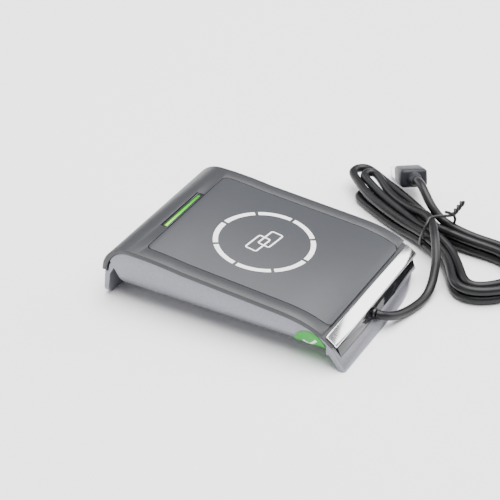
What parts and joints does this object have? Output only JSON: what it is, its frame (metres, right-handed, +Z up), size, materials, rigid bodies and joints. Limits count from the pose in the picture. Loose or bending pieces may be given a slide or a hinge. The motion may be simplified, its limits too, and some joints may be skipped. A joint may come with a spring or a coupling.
{
  "type": "rfid card reader",
  "caption": "Low desktop contactless card reader with a curved dark cover, silver base and light bar, and a tied black lead ending in a plug.",
  "frame": {"origin": "centre of the rectangle the housing covers, on the table it stands on", "axes": "+X along the housing's length, from the light bar towards the end the lead leaves; +Y across it, towards the side the hank lies; +Z up"},
  "size_m": [0.161, 0.1579, 0.0267],
  "materials": {
    "cover": "satin fine texture",
    "panel": "satin fine texture",
    "bar_frame": "gloss",
    "light_lens": "clear tinted gloss",
    "trim": "polished",
    "base": "satin metallic paint on plastic",
    "end_panel": "high gloss",
    "cable_collar": "satin",
    "inner_cable": "satin",
    "board": "solder mask on laminate",
    "coil": "bright copper",
    "chips": "moulded",
    "crystal_can": "plated",
    "capacitor_can": "sleeved",
    "buzzer_case": "moulded",
    "led_resin": "clear resin",
    "light_guide": "clear moulded",
    "connector": "moulded nylon",
    "screws": "zinc plated",
    "feet": "matte",
    "sticker": "printed film",
    "rating_label": "printed film",
    "cable_jacket": "smooth satin PVC",
    "plug_grip": "satin moulded",
    "plug_relief": "satin moulded",
    "plug_shell": "bright plated",
    "plug_tongue": "moulded",
    "twist_tie": "coated wire"
  },
  "bodies": {
    "root": {"top_cover": "cover", "top_panel": "panel", "light_bar_frame": "bar_frame", "light_bar": "light_lens", "end_trim": "trim", "base_shell": "base", "end_panel": "end_panel", "cable_collar": "cable_collar", "inner_cable": "inner_cable", "main_board": "board", "antenna_coil": "coil", "reader_chip": "chips", "controller_chip": "chips", "memory_chip": "chips", "crystal": "crystal_can", "capacitor": "capacitor_can", "buzzer": "buzzer_case", "indicator_led_1": "led_resin", "indicator_led_2": "led_resin", "indicator_led_3": "led_resin", "light_guide": "light_guide", "cable_socket": "connector", "cable_plug_inner": "connector", "case_screw_1": "screws", "case_screw_2": "screws", "case_screw_3": "screws", "case_screw_4": "screws", "rubber_foot_1": "feet", "rubber_foot_2": "feet", "rubber_foot_3": "feet", "rubber_foot_4": "feet", "inspection_sticker": "sticker", "rating_label": "rating_label", "cable_lead": "cable_jacket", "cable_tail": "cable_jacket", "cable_hank": "cable_jacket", "plug_grip": "plug_grip", "plug_relief": "plug_relief", "plug_shell": "plug_shell", "plug_tongue": "plug_tongue", "twist_tie": "twist_tie"}
  },
  "joints": []
}
